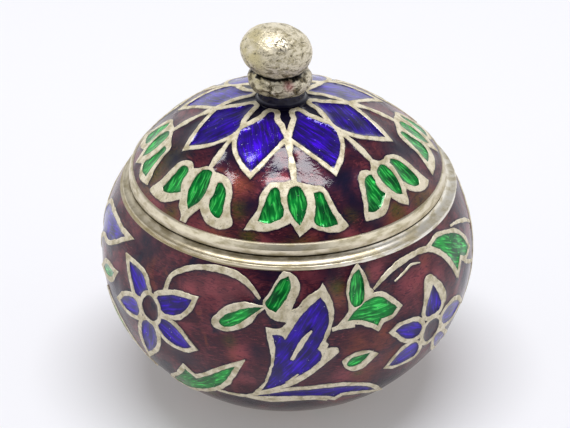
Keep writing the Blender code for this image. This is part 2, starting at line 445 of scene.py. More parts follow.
class Wall:
    """The outer side of a turned piece, as a profile of (radius, height), and its plan.

    A place on it is (along, azimuth): metres along the profile, and radians round from the front.
    The plan is the wall laid flat as rings round its axis, so that small shapes keep their form.
    """

    def __init__(self, profile, zero):
        self.profile = profile
        self.along = [0.0]
        rings = [0.0]
        for (r0, z0), (r1, z1) in zip(profile, profile[1:]):
            step = math.hypot(r1 - r0, z1 - z0)
            self.along.append(self.along[-1] + step)
            rings.append(rings[-1] + 2 * step / (r0 + r1))
        self.along = [a + zero for a in self.along]
        self.rings = [math.exp(r) for r in rings]

    def _mix(self, keys, value):
        i = min(max(bisect_right(keys, value) - 1, 0), len(keys) - 2)
        return i, (value - keys[i]) / (keys[i + 1] - keys[i])

    def radius(self, along):
        i, t = self._mix(self.along, along)
        return self.profile[i][0] * (1 - t) + self.profile[i + 1][0] * t

    def place(self, along, azimuth):
        i, t = self._mix(self.along, along)
        radius = self.profile[i][0] * (1 - t) + self.profile[i + 1][0] * t
        height = self.profile[i][1] * (1 - t) + self.profile[i + 1][1] * t
        return Vector((radius * math.sin(azimuth), -radius * math.cos(azimuth), height))

    def to_plan(self, along, azimuth):
        i, t = self._mix(self.along, along)
        ring = self.rings[i] * (1 - t) + self.rings[i + 1] * t
        return Vector((ring * math.sin(azimuth), -ring * math.cos(azimuth)))

    def from_plan(self, point):
        i, t = self._mix(self.rings, point.length)
        return self.along[i] * (1 - t) + self.along[i + 1] * t, math.atan2(point.x, -point.y)


# Lines drawn on a wall, in flat coordinates round a motif's own middle

LINE_STEP = 0.22 * MM
MITRE = 0.32
BESIDE_SHARE = 0.93
WOBBLE = 0.22
WOBBLE_SPAN = 1.3 * MM
JITTER = 0.065 * MM
JITTER_SPAN = 0.38 * MM
KNOT_REACH = 30


def rounded(points, tips, closed=True):
    """A smooth line through the points, with a corner at each of the tips."""
    count = len(points)
    line = []
    for i in range(count if closed else count - 1):
        j = (i + 1) % count
        here, there = points[i], points[j]
        reach = (there - here).length / 3
        ways = []
        for k in (i, j):
            if k in tips or (not closed and k in (0, count - 1)):
                ways.append((there - here).normalized())
            else:
                ways.append((points[(k + 1) % count] - points[k - 1]).normalized())
        steps = max(2, math.ceil((there - here).length / LINE_STEP)) + 1
        line += interpolate_bezier(here, here + ways[0] * reach, there - ways[1] * reach, there, steps)[:-1]
    if not closed:
        line.append(points[-1])
    return [Vector(p[:2]) for p in line]


def area(line):
    return sum(a.x * b.y - b.x * a.y for a, b in zip(line, line[1:] + line[:1])) / 2


def width_at(point):
    """A hand-cut line's width at a place, as a share of its mean width."""
    return 1 + WOBBLE * noise.noise(Vector((point.x, point.y, 0)) / WOBBLE_SPAN)


def beside(line, distance):
    """The closed line moved to its left by the distance, without the loops that sharp corners leave."""
    moved = []
    for i, here in enumerate(line):
        arrive = (here - line[i - 1]).normalized()
        leave = (line[(i + 1) % len(line)] - here).normalized()
        side = Vector((-arrive.y - leave.y, arrive.x + leave.x)).normalized()
        square = Vector((-arrive.y, arrive.x))
        moved.append(here + side * (distance * width_at(here) / max(side.dot(square), MITRE)))
    kept = []
    for point in moved:
        gap = min(off_segment(point, a, b) for a, b in zip(line, line[1:] + line[:1]))
        if gap > BESIDE_SHARE * abs(distance) * width_at(point):
            kept.append(point)
    return untangled(kept)


def untangled(line):
    """The closed line without the small loops where it crosses itself."""
    for _ in range(len(line)):
        reach = min(KNOT_REACH, len(line) - 1)
        for k in range(reach - 1, 1, -1):
            crossing = intersect_line_line_2d(line[0], line[1], line[k], line[k + 1])
            if crossing:
                line = [line[0], Vector(crossing)] + line[k + 1 :]
                break
        line = line[1:] + line[:1]
    return line


def off_segment(point, start, end):
    """The distance from a point to a straight piece of line."""
    foot, share = intersect_point_line(point, start, end)
    if share <= 0:
        return (point - start).length
    if share >= 1:
        return (point - end).length
    return (point - foot.to_2d()).length


class Inlay:
    """The silver lines and enamel cells of one wall, as closed outlines in levels.

    An outline of a higher level covers those of a lower one.
    """

    def __init__(self, wall, line):
        self.wall = wall
        self.line = line
        self.turned = 0.0
        self.shapes = []
        self.stains = []

    def flat(self, points):
        """Points in degrees and millimetres as flat coordinates, and the azimuth that they start from."""
        middle = sum(p[0] for p in points) / len(points)
        line = []
        for degrees, along in points:
            along *= MM
            line.append(Vector((math.radians(degrees - middle) * self.wall.radius(along), along)))
        return line, math.radians(middle)

    def put(self, line, azimuth, level, slot, grain=0.0):
        """Puts a closed flat line on the wall, round an azimuth."""
        azimuth += self.turned
        spots = []
        for p in line:
            here = self.wall.place(p.y, azimuth + p.x / self.wall.radius(p.y)) / JITTER_SPAN
            along = p.y + JITTER * noise.noise(here)
            across = p.x + JITTER * noise.noise(here + Vector((31, 17, 5)))
            spots.append((along, azimuth + across / self.wall.radius(p.y)))
        flat = [self.wall.to_plan(*spot) for spot in spots]
        if area(flat) < 0:
            spots.reverse()
            flat.reverse()
        middle = sum(p.y for p in line) / len(line)
        shape = {"spots": spots, "flat": flat, "level": level, "slot": slot}
        shape.update(azimuth=azimuth, along=middle, grain=grain)
        self.shapes.append(shape)

    def cell(self, line, azimuth, slot, border=None, grain=None, level=2):
        """Enamel inside a closed flat line, with a silver border along its outside."""
        if area(line) < 0:
            line = line[::-1]
        self.put(beside(line, -(border or self.line)), azimuth, level - 1, SILVER)
        self.put(line, azimuth, level, slot, lengthwise(line) if grain is None else grain)

    def leaf(self, slot, points, tips=(), border=None, grain=None, level=2):
        """A cell from points in degrees and millimetres."""
        line, azimuth = self.flat(points)
        self.cell(rounded(line, tips), azimuth, slot, border, grain, level)

    def patch(self, points, tips=()):
        """Plain silver from points in degrees and millimetres."""
        line, azimuth = self.flat(points)
        self.put(rounded(line, tips), azimuth, 1, SILVER)

    def ribbon(self, line, azimuth, widths, level=1):
        """A silver line along an open flat line, its width set at each of the line's points."""
        run = rounded(line, (), closed=False)
        left, right = [], []
        for i, here in enumerate(run):
            ahead = run[min(i + 1, len(run) - 1)] - run[max(i - 1, 0)]
            side = Vector((-ahead.y, ahead.x)).normalized()
            place = i / (len(run) - 1) * (len(widths) - 1)
            k = min(int(place), len(widths) - 2)
            wide = widths[k] + (widths[k + 1] - widths[k]) * (place - k)
            reach = side * (wide * MM / 2 * width_at(here))
            left.append(here + reach)
            right.append(here - reach)
        self.put(left + right[::-1], azimuth, level, SILVER)

    def scroll(self, points, widths, level=1):
        """A silver line through points in degrees and millimetres."""
        line, azimuth = self.flat(points)
        self.ribbon(line, azimuth, widths, level)

    def stain(self, kind, places):
        """Marks where the ground has another colour.

        The places are (degrees, millimetres along, reach in millimetres).
        """
        for degrees, along, reach in places:
            middle = self.wall.place(along * MM, math.radians(degrees) + self.turned)
            self.stains.append((kind, middle, reach * MM))


def lengthwise(line):
    """The direction in which a closed flat line is longest, in radians from upright."""
    middle = sum(line, Vector((0, 0))) / len(line)
    across = sum((p.x - middle.x) ** 2 for p in line)
    upright = sum((p.y - middle.y) ** 2 for p in line)
    both = sum((p.x - middle.x) * (p.y - middle.y) for p in line)
    return math.atan2(2 * both, across - upright) / 2 - math.pi / 2


def half_bowl_pattern(inlay):
    """The plants on one side of the bowl: two flowers, the lobed blue leaf between them, and green leaves.

    Each point is degrees round from the middle of the side, and millimetres above the belly.
    """
    border = 0.46 * MM
    hearts = (
        [(-47.6, 1.6), (-46, 2.15), (-44, 2.1), (-42.1, 1.6), (-41.4, 0.8), (-42.1, 0.0), (-44, -0.35),
         (-46.6, -0.15), (-48.3, 0.6)],
        [(46.4, -1.1), (49.4, -0.95), (52, -1.5), (52.8, -2.4), (51.5, -3.2), (49, -3.6), (46.5, -3.2),
         (45.2, -2.2)],
    )
    for heart in hearts:
        inlay.leaf(PLUM, heart, border=0.40 * MM, level=4)
    petals = (
        [(-57.2, 4.0), (-53, 4.05), (-49.2, 3.75), (-47, 3.0), (-46.1, 2.4), (-48.8, 1.55), (-51.6, 1.5),
         (-53.6, 2.3), (-55.6, 3.1)],
        [(-29.6, 3.55), (-30.6, 2.7), (-33, 1.8), (-36, 1.3), (-39.6, 1.2), (-42.3, 2.3), (-39.6, 2.95),
         (-35, 3.45)],
        [(-29.3, -1.5), (-32.2, -1.95), (-36, -1.95), (-39.5, -1.4), (-41.6, -0.5), (-41, 0.25), (-38, 0.5),
         (-35, 0.2), (-32, -0.6)],
        [(-51, -5.6), (-50.9, -4.3), (-50.3, -2.9), (-48.9, -1.3), (-46.9, -0.7), (-44, -0.8),
         (-42.7, -1.6), (-43.3, -2.9), (-46.4, -4.3)],
        [(-60.8, -0.75), (-57.6, -1.1), (-54, -1.1), (-51.1, -0.9), (-49.8, -0.2), (-50.2, 0.45),
         (-51.4, 0.85), (-54, 0.8), (-57.5, 0.25)],
        [(49.3, 2.75), (50.9, 1.9), (52, 1.0), (52.7, 0.2), (51.3, -0.3), (48.5, -0.35), (45.5, -0.1),
         (45.3, 0.8), (46.6, 1.6)],
        [(33.3, -0.1), (35, 0.2), (38.5, 0.2), (41.5, -0.1), (43.7, -0.8), (43.8, -1.5), (42.5, -1.9),
         (39.5, -1.8), (36.4, -1.2)],
        [(32.8, -4.4), (35, -3.4), (38, -2.7), (41.4, -2.5), (44, -3.3), (44.5, -4.2), (43.5, -4.75),
         (40, -4.85), (36, -4.8)],
        [(67, -2.3), (64, -1.4), (60, -0.8), (56, -0.9), (53.8, -1.4), (54.8, -2.4), (58, -3.0),
         (62.6, -3.1)],
        [(67.5, -7.6), (63.5, -5.8), (58.6, -4.4), (55, -3.5), (52.4, -3.5), (53, -4.4), (56, -5.7),
         (60.5, -6.9)],
    )
    for petal in petals:
        inlay.leaf(BLUE, petal, (0,), border)
    # The lobed blue leaf, with its broad silver shoulder
    inlay.patch(
        [(10.9, 6.2), (12.6, 5.2), (13.7, 4.2), (13.8, 3.1), (13.0, 2.1), (12.2, 1.2), (11.3, 0.6),
         (12.1, 0.2), (11.6, -0.15), (14.7, -0.3), (15.2, -0.8), (11.2, -2.0), (8.0, -3.0), (5.0, -3.9),
         (1.5, -4.8), (-3.5, -5.6), (-8.0, -6.4), (-13.0, -7.3), (-9.7, -5.8), (-7.1, -4.4), (-5.5, -3.0),
         (-4.9, -2.0), (-4.7, -1.0), (-5.1, 0.0), (-5.8, 1.0), (-6.3, 2.15), (-2.2, 2.1), (-0.3, 2.65),
         (-4.4, 3.1), (-1.2, 3.7), (3.0, 4.1), (5.2, 4.9), (8.0, 5.4), (10.0, 5.8)],
        (0, 7, 8, 10, 17, 25, 27),
    )
    inlay.leaf(
        BLUE,
        [(9.9, 4.9), (11.4, 4.2), (12.2, 3.2), (12.0, 2.3), (10.9, 1.3), (9.6, 0.3), (8.8, -0.15),
         (10.0, -0.8), (9.7, -1.5), (6.8, -2.5), (2.9, -3.5), (-2.0, -4.8), (-8.2, -5.85), (-6.3, -4.5),
         (-4.7, -2.8), (-3.7, -0.9), (-3.6, 0.2), (-4.4, 1.45), (-1.7, 1.4), (-0.7, 0.95), (0.9, 1.8),
         (4.2, 3.4)],
        (0, 6, 8, 12, 17, 19),
        border=0.25 * MM,
        grain=math.radians(-35),
    )
    inlay.scroll([(1.3, -1.3), (3.0, -0.1), (5.0, 1.0), (7.1, 1.8)], (0.28, 0.56, 0.5, 0.16), level=3)
    inlay.scroll([(-0.3, -4.35), (3.3, -3.1)], (0.30, 0.18), level=3)
    # The blue leaf that lies along the bottom
    inlay.leaf(
        BLUE,
        [(-11.2, -7.1), (-5.5, -6.3), (0.0, -5.7), (7.0, -5.55), (15.0, -5.6), (21.5, -6.1), (28.0, -7.2),
         (33.4, -9.0), (26.4, -7.9), (18.4, -7.2), (16.2, -7.9), (13.4, -7.35), (7.0, -6.85), (-1.0, -6.8)],
        (0, 7, 10),
        border=0.55 * MM,
        grain=math.radians(-90),
    )
    inlay.scroll([(-13.5, -7.35), (-6.0, -7.75), (2.0, -7.5), (9.0, -7.6),
                  (14.0, -8.4)], (0.6, 0.75, 0.6, 0.5, 0.3))
    # Green leaves in pairs
    inlay.patch([(-22.7, 1.8), (-20.3, 3.2), (-16.8, 4.05), (-12, 4.4), (-7, 4.1), (-9, 3.3), (-10.7, 2.4),
                 (-14, 1.7), (-19, 1.25)], (4,))
    inlay.leaf(GREEN, [(-7.2, 4.05), (-11, 3.95), (-15, 3.5), (-18.6, 2.9), (-20.3, 2.1), (-18.5, 1.7),
                       (-15, 2.1), (-12.2, 2.8)], (0,), 0.2 * MM)
    inlay.patch([(-7.2, 4.1), (-5.5, 5.3), (-3.5, 6.6), (-1.2, 7.5), (2.5, 7.0), (3.9, 6.0), (2.6, 4.9),
                 (0.6, 3.7), (-4.2, 3.0)], (0, 3))
    inlay.leaf(GREEN, [(0.2, 7.0), (1.1, 6.3), (0.6, 5.5), (-0.9, 4.7), (-3.4, 3.6), (-6.6, 4.3),
                       (-5.0, 5.3), (-2.6, 6.5)], (0, 4), 0.2 * MM)
    inlay.patch([(23.2, 7.5), (25.0, 6.4), (26.1, 5.0), (27.0, 4.6), (22.0, 3.2), (17.4, 2.2), (18.4, 3.6),
                 (18.2, 5.3), (20.6, 6.8)], (0, 5))
    inlay.leaf(GREEN, [(23.3, 6.9), (24.1, 5.9), (24.0, 4.9), (22.9, 3.8), (20.4, 3.5), (19.2, 4.0),
                       (19.1, 5.1), (20.9, 6.5)], (0,), 0.2 * MM)
    inlay.leaf(
        GREEN,
        [(17.8, 2.35), (20.0, 3.05), (23.0, 3.7), (26.0, 4.0), (29.0, 3.9), (31.4, 3.3), (34.2, 2.35),
         (32.0, 1.8), (28.6, 1.75), (27.2, 1.15), (25.0, 1.65), (21.6, 2.15)],
        (0, 6, 8, 9),
        border=0.45 * MM,
    )
    inlay.scroll([(13.0, 1.7), (16.5, 1.85), (20.0, 1.75)], (0.42, 0.42, 0.4))
    inlay.patch([(16.3, -2.1), (18.5, -1.4), (21.3, -1.2), (24.5, -1.35), (28.0, -2.05), (25.3, -2.9),
                 (22.8, -3.6), (19.2, -3.45)], (4,))
    inlay.leaf(GREEN, [(17.8, -2.5), (19.2, -1.8), (22.0, -1.7), (25.2, -1.7), (23.3, -2.4), (21.3, -2.85),
                       (19.3, -2.95)], (3,), 0.15 * MM)
    # The green leaf at the lower left, and its silver tail
    inlay.leaf(
        GREEN,
        [(-15.6, -2.65), (-20, -3.5), (-25, -4.8), (-30.6, -6.1), (-33.8, -5.0), (-37.4, -6.6),
         (-42.2, -8.0), (-49.0, -10.3), (-42.0, -10.2), (-35.4, -9.1), (-29.0, -7.9), (-24.6, -6.8),
         (-20.6, -5.5), (-17.8, -4.0)],
        (0, 3, 4, 7),
    )
    inlay.scroll([(-24.0, -7.2), (-19.0, -7.4), (-12.8, -7.3)], (0.5, 0.5, 0.6))
    # The scrolls
    inlay.scroll(
        [(-39.4, 3.2), (-38.6, 4.8), (-35.4, 5.8), (-30, 6.6), (-23.4, 6.95), (-17.0, 6.8), (-12.3, 6.1),
         (-8.2, 4.8)],
        (0.46, 0.46, 0.48, 0.5, 0.6, 0.66, 0.55, 0.2),
    )
    inlay.scroll(
        [(27.0, 4.75), (31.5, 5.6), (37.5, 6.25), (44, 6.45), (50.2, 6.2), (55.3, 5.2), (59.4, 3.6),
         (62.6, 1.5)],
        (0.22, 0.5, 0.62, 0.55, 0.5, 0.5, 0.46, 0.3),
    )
    inlay.scroll([(34.6, 4.8), (38.8, 5.3), (42.2, 5.65), (46, 5.4)], (0.14, 0.26, 0.22, 0.12))
    inlay.leaf(
        GREEN,
        [(52.9, 6.2), (57, 6.45), (62, 6.1), (67.5, 5.35), (71.5, 4.3), (75, 2.5), (71, 2.3), (66.6, 3.1),
         (63.4, 2.0), (61.8, 2.9), (60.0, 4.0), (57.4, 5.0)],
        (0, 5, 7, 8),
        border=0.42 * MM,
    )
    inlay.scroll([(66.6, 2.9), (70.5, 1.8), (75.0, 0.9), (80.0, 0.1)], (0.3, 0.42, 0.42, 0.3))
    inlay.scroll([(66.5, 6.25), (70.0, 6.0), (75.0, 5.4), (80.0, 4.6),
                  (84.0, 3.7)], (0.2, 0.36, 0.4, 0.4, 0.3))
    inlay.patch(
        [(44.7, 0.8), (44.9, 2.2), (45.5, 3.3), (46.6, 3.85), (48.8, 3.9), (51.2, 3.2), (53.6, 2.2),
         (55.2, 0.7), (53.5, 0.0), (50.5, 1.0), (47.0, 1.0)]
    )
    # The plants between this side of the bowl and the other
    inlay.leaf(
        BLUE,
        [(-63.6, 5.6), (-69, 4.4), (-74.5, 3.4), (-80, 3.2), (-86, 1.9), (-98, -3.6), (-95, 1.0),
         (-88, 5.0), (-78, 5.7)],
        (0, 5),
        grain=math.radians(-75),
    )
    inlay.leaf(GREEN, [(-71.5, -2.4), (-66.5, -3.3), (-62, -5.2), (-59.6, -8.2), (-65, -6.9),
                       (-70, -4.7)], (0, 3))
    inlay.leaf(GREEN, [(-77.0, -0.1), (-72.6, 1.1), (-65.2, 1.45), (-67, 0.7), (-72, 0.0)], (0, 2))
    inlay.stain(NAVY, ((-52, 6.6, 2.2), (-65, -1, 2.6), (-33, -3.4, 1.3), (-48, -8, 2.6), (-9, -0.6, 1.0),
                       (-6, 8, 1.6)))
    inlay.stain(NAVY, ((12, 7.6, 1.6), (64, -4.8, 2.2), (70, 0.2, 1.8), (36, -8.5, 3.0), (-15, -9.5, 2.6),
                       (0, -10, 3.0)))
    inlay.stain(ROSE, ((-24, 4.9, 1.9), (-17, 5.7, 1.3), (-30, 4.2, 1.2), (-13, -0.6, 1.4), (45, 4.2, 1.6),
                       (52, 3.2, 1.2)))
    inlay.stain(ROSE, ((39, 3.9, 1.4), (9, 7.2, 1.1), (29, 6.2, 0.9), (18, -4.6, 1.5), (30, 2.9, 0.8)))
    inlay.stain(RUST, ((29, -0.3, 1.6), (21, -0.4, 1.3), (24, -4.6, 1.6), (34, -3.2, 1.2), (16, 4.6, 1.0),
                       (-15, -1.2, 0.9)))
    inlay.stain(OLIVE, ((-17, 0.2, 0.7), (22, -4.2, 0.6), (15.5, 5.6, 0.8), (25, 6.2, 0.5),
                        (-28, -8.9, 0.8)))


# How far the lid is turned against the bowl, in degrees
LID_TURN = 5.0


def lid_pattern(inlay):
    """Eight cobalt petals round the neck, and between each two a stem that ends in a green trefoil."""
    rng = random.Random(SEED)

    def shift(points, reach, side=1):
        """The points, each moved by chance within a reach, and mirrored where the side is -1."""
        moved = []
        for x, y in points:
            across = side * x + rng.uniform(-reach, reach)
            along = y + rng.uniform(-reach, reach)
            moved.append(Vector((across * MM, along * MM)))
        return moved

    petal = [(0, 10.4), (1.68, 8.75), (2.28, 7.3), (2.2, 6.2), (1.25, 5.0), (0.6, 3.9), (0.15, 2.95),
             (-0.15, 2.95), (-0.6, 4.0), (-1.2, 5.0), (-2.12, 6.35), (-1.1, 8.3)]
    trefoil = [(-0.3, 11.0), (-1.3, 11.15), (-2.1, 11.3), (-2.75, 11.8), (-3.25, 12.6), (-3.65, 13.8),
               (-4.3, 14.8), (-5.2, 16.05), (-4.4, 15.9), (-3.1, 15.9), (-2.1, 15.65), (-0.85, 15.05),
               (-0.1, 16.35), (1.05, 15.5), (1.8, 16.0), (2.8, 16.3), (3.7, 16.25), (4.55, 15.9),
               (4.1, 15.1), (3.5, 14.2), (3.1, 13.2), (2.9, 12.4), (2.5, 11.85), (1.55, 11.55),
               (0.5, 11.15)]
    cells = (
        ([(-1.4, 11.9), (-1.9, 11.65), (-2.3, 12.05), (-2.9, 13.2), (-3.4, 14.3), (-3.75, 15.05),
          (-2.8, 15.1), (-1.9, 14.85), (-1.3, 14.2), (-1.4, 13.0)], (5,)),
        ([(-0.55, 11.85), (0.0, 11.6), (0.55, 11.85), (0.86, 13.1), (0.62, 14.4), (0, 15.35), (-0.62, 14.4),
          (-0.86, 13.1)], (5,)),
        ([(1.62, 12.4), (2.3, 12.35), (2.65, 13.2), (3.05, 14.4), (3.5, 15.55), (2.2, 15.65), (1.4, 15.2),
          (1.55, 14.3), (1.72, 13.3)],
         (0, 4)),
    )
    # Two trefoils of another cut, in degrees round and millimetres from the top
    # Each is the silver and then its three cells, with the corners of each outline
    left_trefoil = (
        ([(-40.5, 11.0), (-43.5, 11.2), (-46, 11.6), (-48.5, 11.85), (-50.5, 11.55), (-53, 11.4),
          (-56.5, 11.65), (-59, 12.2), (-60, 13.0), (-60.5, 14.0), (-61.3, 14.8), (-62.9, 15.6),
          (-63.3, 16.05), (-61, 16.2), (-57, 16.25), (-53, 16.1), (-50, 15.7), (-46.2, 15.05),
          (-44.8, 15.7), (-42.4, 16.3), (-41.8, 16.8), (-39.2, 16.8), (-38.8, 16.3), (-37.2, 15.6),
          (-35.3, 15.05), (-33.5, 15.6), (-31, 16.1), (-28, 16.35), (-24, 16.3), (-21.5, 16.0),
          (-20.5, 15.6), (-21.8, 15.0), (-23.2, 14.0), (-23.8, 12.7), (-25.5, 12.0), (-28, 11.5),
          (-32, 11.25), (-36.5, 11.25), (-38.5, 11.0)], (3, 17, 20, 21, 24)),
        ([(-54.5, 12.1), (-51, 12.15), (-50, 12.6), (-50.2, 13.3), (-49, 13.9), (-47.6, 14.4), (-50, 14.75),
          (-53, 15.1), (-56, 15.25), (-57.5, 15.0), (-57, 14.2), (-56.3, 13.2), (-56, 12.4)], (5, 9)),
        ([(-42, 11.4), (-38, 11.35), (-36.7, 12.0), (-35.8, 13.1), (-36.5, 14.2), (-38.5, 15.0),
          (-40.5, 15.5), (-42.5, 14.9), (-44.3, 14.0), (-44.8, 13.0), (-44.2, 12.0)], (6,)),
        ([(-32.5, 12.2), (-30, 12.1), (-27.5, 12.6), (-26.3, 13.2), (-26, 14.0), (-25.6, 14.9),
          (-26.8, 15.4), (-29.2, 15.25), (-31.4, 14.8), (-32.7, 14.0), (-32.0, 13.4), (-32.2, 12.7)], (0,)),
    )
    right_trefoil = (
        ([(49.3, 11.0), (47.5, 11.4), (45.0, 11.85), (43, 11.55), (40, 11.45), (37.5, 11.8), (35.6, 12.4),
          (34, 13.4), (32.5, 14.4), (31, 15.2), (30.3, 15.95), (33, 16.0), (38.5, 15.95), (41, 15.7),
          (43.5, 15.2), (45.8, 14.8), (47, 15.3), (48.8, 15.8), (51, 16.2), (52.8, 15.75), (54, 15.2),
          (55.3, 14.95), (57, 15.4), (60, 15.85), (63, 16.1), (67, 16.05), (69.5, 15.85), (68.5, 15.0),
          (68.2, 14.2), (68, 13.2), (67.2, 12.5), (65.5, 12.0), (63, 11.65), (60, 11.5), (56, 11.55),
          (53, 11.4), (51.5, 11.0)], (2, 10, 15, 18, 21, 26)),
        ([(42.5, 12.1), (44.3, 12.2), (44, 12.8), (43.2, 13.2), (43.5, 13.9), (44.4, 14.3), (42, 14.75),
          (39, 15.2), (35.5, 15.4), (33, 15.2), (34.8, 14.3), (36.8, 13.2), (39, 12.4)], (1, 5, 9)),
        ([(49, 12.0), (52.5, 11.8), (54.7, 12.05), (55.4, 12.8), (54.7, 13.8), (53.5, 14.5), (51.8, 15.1),
          (50, 14.9), (48.4, 14.4), (47.2, 13.7), (46.8, 12.8), (47.5, 12.2)], (6,)),
        ([(58.2, 12.15), (61, 12.0), (64, 12.6), (65, 13.4), (65.3, 14.6), (64.5, 15.2), (62, 15.4),
          (59, 15.0), (56.5, 14.2), (57.5, 13.3), (58.4, 12.7)], (0, 8)),
    )
    for turn in (0, 180):
        for silver, *green in (left_trefoil, right_trefoil):
            line, azimuth = inlay.flat([(degrees + turn, along) for degrees, along in silver[0]])
            inlay.put(rounded(line, silver[1]), azimuth, 1, SILVER)
            for outline, tips in green:
                line, azimuth = inlay.flat([(degrees + turn, along) for degrees, along in outline])
                inlay.put(rounded(line, tips), azimuth, 2, GREEN, math.radians(rng.uniform(-8, 8)))
    for i in range(8):
        azimuth = math.radians(45 * i + LID_TURN)
        inlay.ribbon(shift([(0, 6.6), (0, 8.0), (0, 9.6),
                            (0, 11.2)], 0.05), azimuth, (0.95, 0.5, 0.72, 0.5))
        side = -1 if i % 3 == 1 else 1
        if i % 2 == 0:
            line = rounded(shift(trefoil, 0.07, side), (0, 7, 8, 11, 12, 13, 17, 24))
            inlay.put(line, azimuth, 1, SILVER)
            for outline, tips in cells:
                line = rounded(shift(outline, 0.05, side), tips)
                inlay.put(line, azimuth, 2, GREEN, math.radians(rng.uniform(-8, 8)))
        azimuth += math.radians(22.5)
        line = rounded(shift(petal, 0.06, -1 if i % 2 else 1), (0, 10))
        inlay.cell(line, azimuth, BLUE, grain=math.radians(rng.uniform(-40, 40)))
    inlay.stain(NAVY, ((29, 11.6, 2.0), (31, 13.8, 1.7), (52, 8.6, 2.2), (-38, 8.6, 2.2), (-15, 13.6, 1.1),
                       (70, 12, 2.5)))
    inlay.stain(NAVY, ((34, 16.2, 1.1), (14, 9.6, 1.0), (-4, 9.4, 0.9), (-63, 12.2, 1.6), (5, 6.9, 1.2)))
    inlay.stain(NAVY, ((120, 9, 3), (160, 13, 2.5), (205, 10, 3), (245, 13, 2.5), (290, 9, 3)))
    inlay.stain(RUST, ((-22, 11.9, 1.3), (-27, 16.2, 1.6), (-45, 17.4, 1.8), (44, 17.0, 1.8),
                       (8, 17.4, 1.2), (-62, 15.6, 1.8)))
    inlay.stain(RUST, ((62, 16.4, 2.0), (150, 16.5, 2.5), (230, 16.5, 2.5)))
    inlay.stain(ROSE, ((-35, 17.5, 1.4), (-46, 17.6, 1.5), (-8, 17.3, 0.9), (22, 17.4, 1.2),
                       (-56, 17.0, 1.2), (110, 15, 2.0), (190, 15, 2.0)))
    inlay.stain(OLIVE, ((-14, 16.6, 0.9), (-19, 14.2, 0.9), (3, 17.3, 1.1), (17, 17.4, 0.8),
                        (26, 15.0, 0.7), (-26, 13.6, 0.8)))
    inlay.stain(OLIVE, ((-65, 12.4, 1.8), (-68, 14.8, 1.8), (-47, 16.8, 1.0), (45, 16.1, 0.9),
                        (60, 16.9, 1.5)))


# From outlines to a mesh

# The least distance from a line to a point of the grid, as a share of the grid's spacing
GRID_CLEARANCE = 0.55
# How far a stain fades out, as a share of its reach
STAIN_FADE = 1.6


def lay_mesh(inlay, sizes):
    """A bmesh of a wall's outer side, its faces cut along the inlay's outlines and given their slots."""
    wall = inlay.wall
    ends = (wall.along[-1], wall.along[0])
    spots, rings = [], []
    for along in ends:
        rings.append(list(range(len(spots), len(spots) + sizes.sides)))
        spots += [(along, math.tau * i / sizes.sides) for i in range(sizes.sides)]
    loops = list(rings)
    for shape in inlay.shapes:
        loops.append(list(range(len(spots), len(spots) + len(shape["spots"]))))
        spots += shape["spots"]
    tree = KDTree(len(spots))
    for i, spot in enumerate(spots):
        tree.insert(wall.place(*spot), i)
    tree.balance()
    rows = round((ends[0] - ends[1]) / (sizes.grid * math.sqrt(0.75)))
    for row in range(1, rows):
        along = ends[1] + (ends[0] - ends[1]) * row / rows
        count = round(math.tau * wall.radius(along) / sizes.grid)
        for i in range(count):
            spot = (along, math.tau * (i + row % 2 / 2) / count)
            if tree.find(wall.place(*spot))[2] > sizes.grid * GRID_CLEARANCE:
                spots.append(spot)
    flat = [wall.to_plan(*spot) for spot in spots]
    points, _, faces, origins, _, owners = delaunay_2d_cdt(flat, [], loops, 1, 1e-7, True)
    bm = bmesh.new()
    grain = bm.loops.layers.uv.new("grain")
    verts, places = [], []
    for point, known in zip(points, origins):
        spot = spots[known[0]] if known else wall.from_plan(point)
        places.append(spot)
        verts.append(bm.verts.new(wall.place(*spot)))
    for face, owned in zip(faces, owners):
        if 0 not in owned or 1 in owned:
            continue
        shapes = [inlay.shapes[i - 2] for i in owned if i > 1]
        made = bm.faces.new([verts[i] for i in face])
        if not shapes:
            continue
        top = max(shapes, key=lambda shape: shape["level"])
        made.material_index = top["slot"]
        turn = Matrix.Rotation(-top["grain"], 2)
        for loop, i in zip(made.loops, face):
            along, azimuth = places[i]
            round_by = (azimuth - top["azimuth"] + math.pi) % math.tau - math.pi
            loop[grain].uv = turn @ Vector((round_by * wall.radius(along), along - top["along"])) / MM
    bmesh.ops.delete(bm, geom=[v for v in verts if not v.link_faces], context="VERTS")
    bm.normal_update()
    if sum(f.normal.xy.dot(f.calc_center_median().xy) for f in bm.faces) < 0:
        bmesh.ops.reverse_faces(bm, faces=bm.faces)
    return bm


def raise_lines(bm, sizes, stains):
    """Lifts the silver over a narrow chamfer, and lets the enamel sink between the lines as in firing."""
    shore = bm.verts.layers.float.new("shore")
    bm.normal_update()
    edges = [e for e in bm.edges if len({f.material_index == SILVER for f in e.link_faces}) == 2]
    banks = {v for e in edges for v in e.verts}
    tree = KDTree(len(banks))
    for i, vert in enumerate(banks):
        tree.insert(vert.co, i)
    tree.balance()
    stain = bm.verts.layers.float_color.new("stain")
    for vert in bm.verts:
        vert[stain] = (0.0, 0.0, 0.0, 0.0)
    for kind, middle, reach in stains:
        for vert in bm.verts:
            gap = (vert.co - middle).length / reach
            if gap < STAIN_FADE:
                vert[stain][kind] = max(vert[stain][kind], 1 - gap * gap * (3 - 1.25 * gap) / 2.56)
    moves = []
    for vert in bm.verts:
        slots = {f.material_index for f in vert.link_faces}
        if SILVER in slots:
            continue
        gap = tree.find(vert.co)[2]
        sunk = 1 - math.exp(-gap / sizes.shore)
        vert[shore] = sunk
        depth = sizes.ground_dip if GROUND in slots else sizes.cell_dip
        moves.append((vert, vert.normal * (-depth * sunk)))
    silver = [f for f in bm.faces if f.material_index == SILVER]
    bmesh.ops.inset_region(
        bm,
        faces=silver,
        thickness=sizes.chamfer,
        depth=sizes.rise,
        use_even_offset=True,
        use_boundary=False,
    )
    for vert, move in moves:
        vert.co += move


